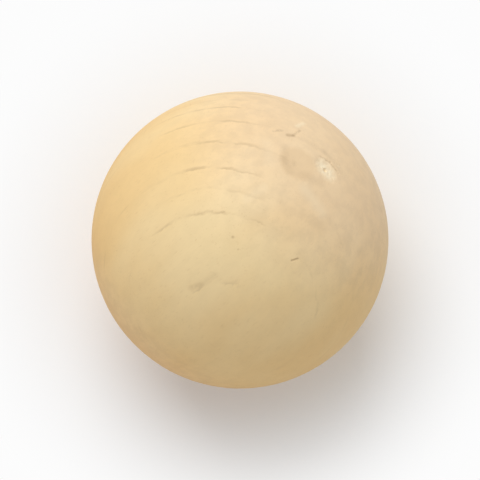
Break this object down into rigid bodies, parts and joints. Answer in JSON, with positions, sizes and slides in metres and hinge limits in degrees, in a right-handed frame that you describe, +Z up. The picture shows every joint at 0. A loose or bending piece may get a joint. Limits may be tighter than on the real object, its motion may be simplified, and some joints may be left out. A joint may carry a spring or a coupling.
{
  "type": "undrilled wooden bead",
  "caption": "Solid round ball turned from pale bare wood, smooth and satin, with growth rings and a small shallow turning mark near the crown.",
  "frame": {"origin": "centre of the ball", "axes": "+Z up out of the crown as the ball lies, +Y away from the viewer, +X to the right. The marked pole points 42 degrees from +Z, towards +X and +Y"},
  "size_m": [0.03, 0.03, 0.03],
  "materials": {
    "bare_wood": "pale close-grained hardwood, bare and fine-sanded to a soft satin"
  },
  "bodies": {
    "root": {"bead": "bare_wood"}
  },
  "joints": []
}
